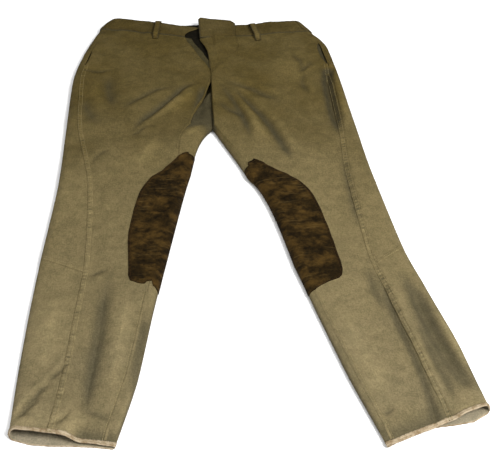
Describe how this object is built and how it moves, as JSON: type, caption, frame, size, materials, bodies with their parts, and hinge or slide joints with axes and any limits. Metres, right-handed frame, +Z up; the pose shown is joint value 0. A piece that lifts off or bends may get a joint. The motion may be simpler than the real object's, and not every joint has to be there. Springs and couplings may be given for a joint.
{
  "type": "riding breeches",
  "caption": "Khaki twill riding breeches laid flat, front up, with brown suede inner-knee patches, slash pockets, belt loops, a zip fly under an overlapping waist tab and taped hems.",
  "frame": {"origin": "middle of the outline on the surface that the breeches lie on", "axes": "+Y towards the waist, +X towards the wearer's left, +Z up out of the front"},
  "size_m": [0.5898, 0.9858, 0.0267],
  "materials": {
    "khaki_twill": "brushed cotton-stretch twill, worn, olive-tan",
    "waistband_twill": "the same twill, a shade darker round the waist",
    "turned_back_twill": "inner side of the twill, paler and greyer",
    "suede": "dark brown suede, scuffed, with scratches",
    "lining": "pale cotton lining",
    "dark_lining": "dark brown woven lining",
    "hem_tape": "pinkish-beige cotton tape, slightly frayed",
    "zip_tape": "woven zip tape",
    "brass": "satin brass",
    "nickel": "nickel-plated steel"
  },
  "bodies": {
    "hips": {"right_front_thigh_panel": "khaki_twill", "right_back_thigh_panel": "khaki_twill", "right_knee_patch_upper": "suede", "right_waistband": "waistband_twill", "right_waistband_lining": "dark_lining", "right_front_belt_loop": "waistband_twill", "right_side_belt_loop": "waistband_twill", "right_pocket_bag": "lining", "right_pocket_facing": "khaki_twill", "right_zip_tape": "zip_tape", "right_zip_teeth": "brass", "right_zip_top_stop": "brass", "left_front_thigh_panel": "khaki_twill", "left_back_thigh_panel": "khaki_twill", "left_knee_patch_upper": "suede", "left_waistband": "waistband_twill", "left_waistband_lining": "dark_lining", "left_front_belt_loop": "waistband_twill", "left_side_belt_loop": "waistband_twill", "left_pocket_bag": "lining", "left_pocket_facing": "khaki_twill", "left_zip_tape": "zip_tape", "left_zip_teeth": "brass", "left_zip_top_stop": "brass", "back_belt_loop": "waistband_twill", "fly_underlap": "dark_lining", "waist_bar": "nickel", "right_fly_turnback": "turned_back_twill", "left_fly_facing": "lining", "zip_bottom_stop": "brass"},
    "right_shin": {"right_front_calf_panel": "khaki_twill", "right_back_calf_panel": "khaki_twill", "right_knee_patch_lower": "suede", "right_hem_tape": "hem_tape", "right_hem_facing": "lining"},
    "left_shin": {"left_front_calf_panel": "khaki_twill", "left_back_calf_panel": "khaki_twill", "left_knee_patch_lower": "suede", "left_hem_tape": "hem_tape", "left_hem_facing": "lining"},
    "fly_front": {"fly_flap": "khaki_twill", "waist_tab": "waistband_twill", "waist_hook": "nickel"},
    "zip_runner": {"zip_slider": "brass", "zip_pull": "brass"}
  },
  "joints": [
    {"name": "right_knee_fold", "type": "hinge", "parent": "hips", "child": "right_shin", "pos_m": [-0.186, -0.15194, 0.024], "axis": [-0.9923, 0.124, 0], "range_deg": [0, 175]},
    {"name": "left_knee_fold", "type": "hinge", "parent": "hips", "child": "left_shin", "pos_m": [0.1645, -0.17694, 0.024], "axis": [-0.9799, -0.1997, 0], "range_deg": [0, 175]},
    {"name": "fly_front_hinge", "type": "hinge", "parent": "hips", "child": "fly_front", "pos_m": [0.0444, 0.4, 0.0234], "axis": [0, 1, 0], "range_deg": [0, 110]},
    {"name": "zip_runner_slide", "type": "slide", "parent": "hips", "child": "zip_runner", "axis": [0, -1, 0], "range_m": [0, 0.062]}
  ]
}
